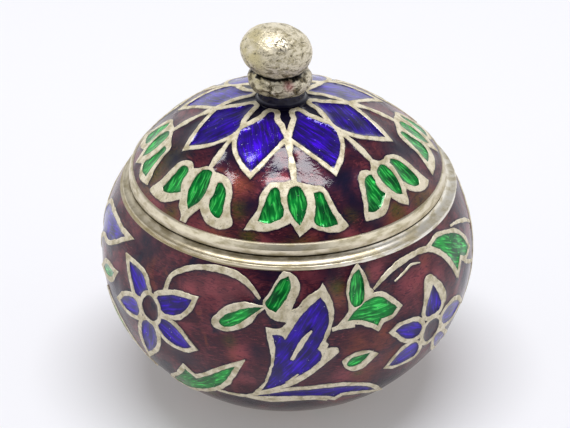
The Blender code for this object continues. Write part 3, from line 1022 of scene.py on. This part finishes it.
def roughen(bm, sizes, low, high):
    """Gives the wall the slow unevenness of hand work, fading out at its two ends."""
    bm.normal_update()
    for vert in bm.verts:
        fade = min(1, (vert.co.z - low) / (2 * MM), (high - vert.co.z) / (1.5 * MM))
        slow = noise.noise(vert.co / (6.5 * MM))
        quick = noise.noise(vert.co / (1.6 * MM) + Vector((5, 9, 2)))
        vert.co += vert.normal * (sizes.wave * max(0, fade) * (slow + 0.6 * quick))


def open_edges(bm, height):
    """The open edges that are nearer to a height than the others."""
    edges = [e for e in bm.edges if e.is_boundary]
    ends = [sum(v.co.z for v in e.verts) / 2 for e in edges]
    nearest = min(ends, key=lambda z: abs(z - height))
    return [e for e, z in zip(edges, ends) if abs(z - nearest) < 0.4 * MM]


def run_on(bm, edges, profile, slot):
    """Carries a round open edge on through (radius, height) points, and closes it at the axis."""
    turns = {}
    for edge in edges:
        for vert in edge.verts:
            turns[vert] = math.atan2(vert.co.x, -vert.co.y)
    for radius, height in profile:
        old = {v: turns[v] for e in edges for v in e.verts}
        grown = bmesh.ops.extrude_edge_only(bm, edges=edges)["geom"]
        edges = [g for g in grown if isinstance(g, bmesh.types.BMEdge) and g.is_boundary]
        for face in (g for g in grown if isinstance(g, bmesh.types.BMFace)):
            face.material_index = slot
            face.smooth = True
        for vert in {v for e in edges for v in e.verts}:
            back = [e.other_vert(vert) for e in vert.link_edges if e.other_vert(vert) in old]
            turns[vert] = old[back[0]]
            vert.co = (radius * math.sin(turns[vert]), -radius * math.cos(turns[vert]), height)
    if profile[-1][0] == 0:
        bmesh.ops.remove_doubles(bm, verts=list({v for e in edges for v in e.verts}), dist=WELD)


def to_piece(bm, name, materials, sharp=32.0):
    """A finished object from a closed bmesh, its normals outwards and its edges sharp past an angle."""
    bmesh.ops.recalc_face_normals(bm, faces=bm.faces)
    loose = [e for e in bm.edges if not e.is_manifold]
    if loose:
        spot = loose[0].verts[0].co
        raise RuntimeError(f"{name} isn't closed: {len(loose)} edges, the first near {spot}")
    mesh = bpy.data.meshes.new(name)
    bm.to_mesh(mesh)
    bm.free()
    mesh.shade_smooth()
    mesh.set_sharp_from_angle(angle=math.radians(sharp))
    for material in materials:
        mesh.materials.append(material)
    piece = bpy.data.objects.new(name, mesh)
    bpy.context.scene.collection.objects.link(piece)
    return piece


def spread(start, end, count):
    """Evenly spaced values from start to end, both of them included."""
    return [start + (end - start) * i / count for i in range(count + 1)]


def arc(centre, size, start, end, count):
    """Points of an ellipse between two angles, in degrees from the horizontal."""
    points = []
    for angle in spread(math.radians(start), math.radians(end), count):
        points.append((centre[0] + size[0] * math.cos(angle), centre[1] + size[1] * math.sin(angle)))
    return points


def turn_profile(profile, sides, closed):
    """A bmesh turned about Z from a profile of (radius, height)."""
    bm = bmesh.new()
    verts = [bm.verts.new((0.0, -radius, height)) for radius, height in profile]
    edges = [bm.edges.new(pair) for pair in zip(verts, verts[1:])]
    if closed:
        edges.append(bm.edges.new((verts[-1], verts[0])))
    bmesh.ops.spin(
        bm, geom=verts + edges, cent=(0, 0, 0), axis=(0, 0, 1), angle=math.tau, steps=sides, use_merge=True
    )
    bmesh.ops.remove_doubles(bm, verts=bm.verts, dist=WELD)
    return bm


def lean_over(bm, sizes):
    """Leans what stands on the lid's band to the left, keeping the band's plane where it is."""
    lift = Matrix.Translation((0, 0, sizes.dome_foot))
    shear = Matrix.Shear("XY", 4, (-sizes.lean, 0))
    bmesh.ops.transform(bm, matrix=lift @ shear @ lift.inverted(), verts=bm.verts)


def enamel_materials(name, colours, around_neck):
    """The finishes of an enamelled piece, in the order of its slots."""
    shared = {m.name: m for m in bpy.data.materials}
    cells = (
        ("cobalt enamel", colours.blue_deep, colours.blue, colours.blue_light, 0.30, 2.2),
        ("leaf enamel", colours.green_deep, colours.green, colours.green_light, 0.22, 1.6),
        ("plum enamel", colours.navy, colours.maroon, colours.maroon, 0.3, 0.6),
    )
    made = [ground_enamel(name + " ground enamel", colours, around_neck)]
    made.append(shared.get("filed silver") or filed_silver(colours))
    made += [shared.get(cell[0]) or cell_enamel(*cell) for cell in cells]
    made.append(shared.get("inner silver") or inner_silver(colours))
    return made


# Steps that a turned outline is drawn in
BOWL_STEPS = 300
BOWL_LINING_STEPS = 26
DOME_STEPS = 240
DOME_LINING_STEPS = 22
BALL_STEPS = 46
BEAD_STEPS = 22
KNOB_SIDES = 128
# Rings that a flat face is divided into, as shares of its radius
INWARD = (0.66, 0.33, 0.0)


class PillBoxOperator:
    """What the operators share."""

    bl_options = {"REGISTER", "UNDO"}

    def dress(self, piece, node, slot):
        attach(piece, "root")
        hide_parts(node)


class PILLBOX_OT_bowl(PillBoxOperator, bpy.types.Operator):
    """Build the enamelled bowl: flowers and leaves outside, bare silver inside."""

    bl_idname = "pillbox.bowl"
    bl_label = "Bowl"

    def execute(self, context):
        settings = context.scene.pill_box
        sizes = settings.sizes
        low_depth = sizes.belly_height / math.sqrt(1 - (sizes.base_radius / sizes.belly_radius) ** 2)
        rise = sizes.mouth_height - sizes.belly_height
        high_depth = rise / math.sqrt(1 - (1 - sizes.mouth_inset / sizes.belly_radius) ** 2)
        top = sizes.mouth_height + 0.15 * MM

        def side(wall, bottom, top, count):
            depths = (low_depth - wall, high_depth - wall)
            first = math.asin((bottom - sizes.belly_height) / depths[0])
            last = math.asin((top - sizes.belly_height) / depths[1])
            radius = sizes.belly_radius - wall
            points = []
            for angle in spread(first, last, count):
                height = sizes.belly_height + depths[angle > 0] * math.sin(angle)
                points.append((radius * math.cos(angle), height))
            return points

        outer = side(0.0, 0.0, top, BOWL_STEPS)
        below = [p for p in outer if p[1] <= sizes.belly_height]
        along = sum(math.dist(a, b) for a, b in zip(below, below[1:]))
        wall = Wall(outer, -along)
        inlay = Inlay(wall, settings.inlay.line)
        half_bowl_pattern(inlay)
        inlay.turned = math.pi
        half_bowl_pattern(inlay)
        bm = lay_mesh(inlay, settings.inlay)
        raise_lines(bm, settings.inlay, inlay.stains)
        roughen(bm, settings.inlay, 0.0, top)
        inner = side(sizes.bowl_wall, sizes.bowl_wall, sizes.mouth_height, BOWL_LINING_STEPS)
        inner[-1] = (inner[-1][0], top)
        floor = [(inner[0][0] * share, sizes.bowl_wall) for share in INWARD]
        run_on(bm, open_edges(bm, top), inner[::-1] + floor, LINING)
        foot = [(sizes.base_radius * share, 0.0) for share in (0.985, *INWARD)]
        run_on(bm, open_edges(bm, 0.0), foot, LINING)
        piece = to_piece(bm, "enamelled_bowl", enamel_materials("bowl", settings.colours, False))
        self.dress(piece, "bowl", "bowl_enamel")
        return {"FINISHED"}


class PILLBOX_OT_lid(PillBoxOperator, bpy.types.Operator):
    """Build the enamelled lid: cobalt petals and green trefoils round a dark neck."""

    bl_idname = "pillbox.lid"
    bl_label = "Lid"

    def execute(self, context):
        settings = context.scene.pill_box
        sizes = settings.sizes
        foot = BAND_HIGH.z + 0.02 * MM
        start = math.asin(sizes.neck_foot / sizes.cap_radius)
        end = math.acos((foot - sizes.cap_centre) / sizes.cap_radius)
        outer = []
        for angle in spread(start, end, DOME_STEPS):
            radius = sizes.cap_radius * math.sin(angle)
            outer.append((radius, sizes.cap_centre + sizes.cap_radius * math.cos(angle)))
        inlay = Inlay(Wall(outer, sizes.cap_radius * start), settings.inlay.line)
        lid_pattern(inlay)
        bm = lay_mesh(inlay, settings.inlay)
        raise_lines(bm, settings.inlay, inlay.stains)
        roughen(bm, settings.inlay, foot, outer[0][1])
        inside = sizes.cap_radius - sizes.lid_wall
        end = math.acos((foot - sizes.cap_centre) / inside)
        inner = []
        for angle in spread(end, 0.0, DOME_LINING_STEPS):
            inner.append((inside * math.sin(angle), sizes.cap_centre + inside * math.cos(angle)))
        inner[-1] = (0.0, inner[-1][1])
        run_on(bm, open_edges(bm, foot), inner, LINING)
        bend = sizes.neck_bend
        neck = arc((sizes.neck_foot, outer[0][1] + bend), (bend, bend), 265, 185, 8)
        neck += [(sizes.neck_top * share, sizes.neck_end) for share in (1.0, 0.6, 0.0)]
        run_on(bm, open_edges(bm, outer[0][1]), neck, GROUND)
        lean_over(bm, sizes)
        piece = to_piece(bm, "enamelled_lid", enamel_materials("lid", settings.colours, True))
        self.dress(piece, "lid", "lid_enamel")
        return {"FINISHED"}


class PILLBOX_OT_rims(PillBoxOperator, bpy.types.Operator):
    """Build the two silver rims: the collar in the bowl's mouth and the band at the lid's edge."""

    bl_idname = "pillbox.rims"
    bl_label = "Silver rims"

    def collar(self, sizes):
        """A hollow moulding with a rolled edge outside, and the sleeve that lines the bowl's mouth."""
        top = COLLAR_HIGH.z
        foot = sizes.mouth_height + 0.08 * MM
        inner_top = BAND_HIGH.x
        roll = 0.11 * MM
        outer = COLLAR_HIGH.x - roll
        profile = arc((outer - 0.02 * MM, top), (outer - 0.02 * MM - inner_top, 0.50 * MM), 180, 266, 10)
        profile += arc((outer, top - 0.61 * MM), (roll, roll), 95, -50, 10)
        bore = 13.93 * MM
        sleeve = 14.63 * MM
        profile += [(outer + 0.09 * MM, foot), (sleeve, foot), (sleeve, COLLAR_LOW.z)]
        profile += [(bore, COLLAR_LOW.z), (bore, top)]
        return profile

    def band(self, sizes):
        """A band with a bevelled upper face, and the lip that drops into the collar."""
        top = BAND_HIGH.z
        edge = BAND_HIGH.x
        foot = COLLAR_HIGH.z + 0.11 * MM
        lip, bore = 13.63 * MM, 12.93 * MM
        soft = 0.06 * MM
        profile = [
            (edge - 0.62 * MM, top + 0.02 * MM),
            (edge - 0.28 * MM, top),
            (edge - 0.20 * MM, top - soft),
            (edge - 0.04 * MM, top - 0.50 * MM),
            (edge, top - 0.58 * MM),
            (edge, foot + soft),
            (edge - soft, foot),
            (lip, foot),
            (lip, BAND_LOW.z),
            (bore, BAND_LOW.z),
            (bore, top),
        ]
        return profile

    def mark_seam_shade_and_tarnish(self, bm, reach):
        """Marks how near a place is to the seam between collar and band, where a cloth seldom reaches: the
        material darkens it there for tarnish and for painted shade under the band's edge.

        The side to the right of the front is marked less and so stays brighter, as part of the painted
        reflection there.
        """
        shore = bm.verts.layers.float.new("shore")
        for vert in bm.verts:
            # The right side is darkened less at the seam, as part of the painted reflection there.
            right_sheen = min(1, max(0, (vert.co.x - 4 * MM) / (5 * MM)))
            near = 1 - abs(vert.co.z - COLLAR_HIGH.z) / reach
            vert[shore] = max(0.0, near) * (1 - 0.75 * right_sheen)

    def execute(self, context):
        settings = context.scene.pill_box
        sizes = settings.sizes
        material = polished_silver(settings.colours)
        bm = turn_profile(self.collar(sizes), settings.inlay.sides, True)
        self.mark_seam_shade_and_tarnish(bm, 0.80 * MM)
        for vert in bm.verts:
            out = vert.co.xy.length - BAND_HIGH.x
            if out > 0 and vert.co.z > sizes.mouth_height:
                vert.co.x += sizes.collar_slip * out / (COLLAR_HIGH.x - BAND_HIGH.x)
        piece = to_piece(bm, "silver_collar", [material])
        self.dress(piece, "bowl_rim", "polished_silver")
        bm = turn_profile(self.band(sizes), settings.inlay.sides, True)
        self.mark_seam_shade_and_tarnish(bm, 0.55 * MM)
        piece = to_piece(bm, "silver_lid_band", [material], 24.0)
        self.dress(piece, "lid_rim", "polished_silver")
        return {"FINISHED"}


class PILLBOX_OT_knob(PillBoxOperator, bpy.types.Operator):
    """Build the cast knob: a worn ball on a bead."""

    bl_idname = "pillbox.knob"
    bl_label = "Knob"

    def execute(self, context):
        settings = context.scene.pill_box
        sizes = settings.sizes
        seat = sizes.neck_end - 0.05 * MM
        centre = sizes.ball_centre
        end = math.degrees(math.asin((sizes.crevice - centre) / (sizes.ball_height / 2)))
        ball = arc((0.0, centre), (sizes.ball_radius, sizes.ball_height / 2), 90, end, BALL_STEPS)
        ball[0] = (0.0, ball[0][1])
        waist = ball[-1][0]
        groove = [
            (waist - 0.12 * MM, sizes.crevice - 0.03 * MM),
            (waist - 0.30 * MM, sizes.crevice - 0.04 * MM),
        ]
        middle = (sizes.crevice + seat) / 2 - 0.02 * MM
        core = 2.15 * MM
        bulge = sizes.bead_radius - core
        bead = arc((core, middle), (bulge, middle - seat), 80, -90, BEAD_STEPS)
        profile = ball + groove + bead + [(0.0, seat)]
        bm = turn_profile(profile, KNOB_SIDES, False)
        shore = bm.verts.layers.float.new("shore")
        trace = bm.verts.layers.float.new("trace")
        dent = bm.verts.layers.float.new("dent")
        # Where enamel ran onto the bead, where the ball is pocked, and the way its worn flat faces
        ran = Vector((0.8, -2.5, 31.8)) * MM
        pocked = Vector((0.6, -2.25, 35.9)) * MM
        facet = Vector((0.22, -0.55, 0.80)).normalized()
        bm.normal_update()
        for vert in bm.verts:
            slow = noise.noise(vert.co / (2.6 * MM) + Vector((3, 1, 4)))
            quick = noise.noise(vert.co / (0.70 * MM))
            fine = noise.noise(vert.co / (0.28 * MM))
            off = abs(vert.co.z - sizes.crevice + 0.03 * MM + 0.26 * MM * quick)
            vert[shore] = max(0.0, 1 - off / ((0.40 + 0.5 * fine) * MM))
            vert[trace] = max(0.0, 1 - (vert.co - ran).length / (0.85 * MM))
            vert[dent] = max(0.0, 1 - (vert.co - pocked).length / (1.2 * MM))
            lumps = 0.16 if vert.co.z < sizes.crevice else 0.045
            worn = (vert.co - Vector((0, 0, centre))).dot(facet) - 0.90 * sizes.ball_radius
            if worn > 0:
                vert.co -= facet * (worn * 0.75)
            vert.co += vert.normal * MM * (0.12 * slow + lumps * quick + 0.014 * fine)
            vert.co.x -= sizes.ball_slip * min(1, max(0, (vert.co.z - sizes.crevice) / (0.8 * MM)))
        lean_over(bm, sizes)
        piece = to_piece(bm, "cast_knob", [cast_silver(settings.colours)], 60.0)
        self.dress(piece, "knob", "cast_silver")
        return {"FINISHED"}


class PILLBOX_OT_studio(bpy.types.Operator):
    """Set up the floor, the lights and the camera."""

    bl_idname = "pillbox.studio"
    bl_label = "Studio"
    bl_options = {"REGISTER", "UNDO"}

    def floor(self, colours):
        material, tree, shader = start_material("studio floor")
        speckle = cloud(tree, place_on_piece(tree, 40.0), 2.0)
        share = span(tree, speckle, 0.3, 0.7, 0.0, 0.02)
        tone = blend(tree, share, linear(colours.floor), (0.7, 0.7, 0.7, 1.0))
        tree.links.new(tone, shader.inputs["Base Color"])
        shader.inputs["Roughness"].default_value = 0.9
        shader.inputs["Specular IOR Level"].default_value = 0.2
        # The floor glows faintly with warm light, a painted light that lifts the shadow under the box.
        shader.inputs["Emission Color"].default_value = (1.0, 0.96, 0.88, 1.0)
        shader.inputs["Emission Strength"].default_value = 0.20
        bm = bmesh.new()
        bmesh.ops.create_grid(bm, x_segments=2, y_segments=2, size=0.9)
        mesh = bpy.data.meshes.new("studio_floor")
        bm.to_mesh(mesh)
        bm.free()
        mesh.materials.append(material)
        piece = bpy.data.objects.new("studio_floor", mesh)
        bpy.context.scene.collection.objects.link(piece)

    def world(self):
        """A pale light tent, with the darker opening that the camera looks through."""
        world = bpy.data.worlds.new("light tent")
        bpy.context.scene.world = world
        world.use_nodes = True
        tree = world.node_tree
        way = add(tree, "ShaderNodeTexCoord").outputs["Generated"]
        camera_side = {0: way, 1: (0.0, -0.86, 0.51)}
        ahead = add(tree, "ShaderNodeVectorMath", {"operation": "DOT_PRODUCT"}, camera_side)
        opening = span(tree, ahead.outputs["Value"], 0.78, 0.94)
        upright = add(tree, "ShaderNodeSeparateXYZ", None, {0: way}).outputs["Z"]
        tone = blend(tree, span(tree, upright, 0.10, 0.75), (0.98, 0.99, 1.0, 1.0), (0.17, 0.17, 0.18, 1.0))
        tone = blend(tree, opening, tone, (0.08, 0.08, 0.09, 1.0))
        back = tree.nodes["Background"]
        tree.links.new(tone, back.inputs["Color"])
        back.inputs["Strength"].default_value = 1.20

    def lamp(self, name, place, target, size, power):
        data = bpy.data.lights.new(name, "AREA")
        data.shape = "RECTANGLE"
        data.size, data.size_y = size
        data.energy = power
        lamp = bpy.data.objects.new(name, data)
        lamp.location = place
        lamp.rotation_euler = (Vector(target) - Vector(place)).to_track_quat("-Z", "Y").to_euler()
        bpy.context.scene.collection.objects.link(lamp)

    def execute(self, context):
        settings = context.scene.pill_box
        studio = settings.studio
        self.floor(settings.colours)
        self.world()
        self.lamp("overhead softbox", (0.0, 0.03, 0.45), (0.0, 0.0, 0.02), (0.38, 0.09), 1.80)
        target = Vector((studio.look_right, 0.0, studio.look_up))
        ahead = Vector((0, math.cos(studio.elevation), -math.sin(studio.elevation)))
        data = bpy.data.cameras.new("camera")
        data.sensor_width = 36.0
        data.lens = studio.lens
        data.clip_start, data.clip_end = 0.01, 10.0
        camera = bpy.data.objects.new("camera", data)
        camera.location = target - ahead * studio.distance
        camera.rotation_euler = ahead.to_track_quat("-Z", "Y").to_euler()
        context.scene.collection.objects.link(camera)
        context.scene.camera = camera
        context.scene.view_settings.view_transform = "Standard"
        return {"FINISHED"}


class PILLBOX_PT_panel(bpy.types.Panel):
    """Lists the steps in the sidebar of the 3D view."""

    bl_idname = "PILLBOX_PT_panel"
    bl_label = "Pill Box"
    bl_space_type = "VIEW_3D"
    bl_region_type = "UI"
    bl_category = "Pill Box"

    def draw(self, context):
        for step in OPERATORS:
            self.layout.operator(step.bl_idname)
        for group in ("sizes", "inlay", "colours", "studio"):
            box = self.layout.box()
            owner = getattr(context.scene.pill_box, group)
            for name in owner.bl_rna.properties.keys():
                if name not in ("rna_type", "name"):
                    box.prop(owner, name)


OPERATORS = (PILLBOX_OT_studio, PILLBOX_OT_bowl, PILLBOX_OT_rims, PILLBOX_OT_lid, PILLBOX_OT_knob)
CLASSES = (BoxSizes, InlaySizes, BoxColours, StudioSizes, PillBoxSettings, *OPERATORS, PILLBOX_PT_panel)


def register():
    for item in CLASSES:
        bpy.utils.register_class(item)
    bpy.types.Scene.pill_box = PointerProperty(type=PillBoxSettings)


def unregister():
    del bpy.types.Scene.pill_box
    for item in reversed(CLASSES):
        bpy.utils.unregister_class(item)


def main():
    register()
    bpy.ops.pillbox.studio()
    bpy.ops.pillbox.bowl()
    bpy.ops.pillbox.rims()
    bpy.ops.pillbox.lid()
    bpy.ops.pillbox.knob()


if __name__ == "__main__":
    main()
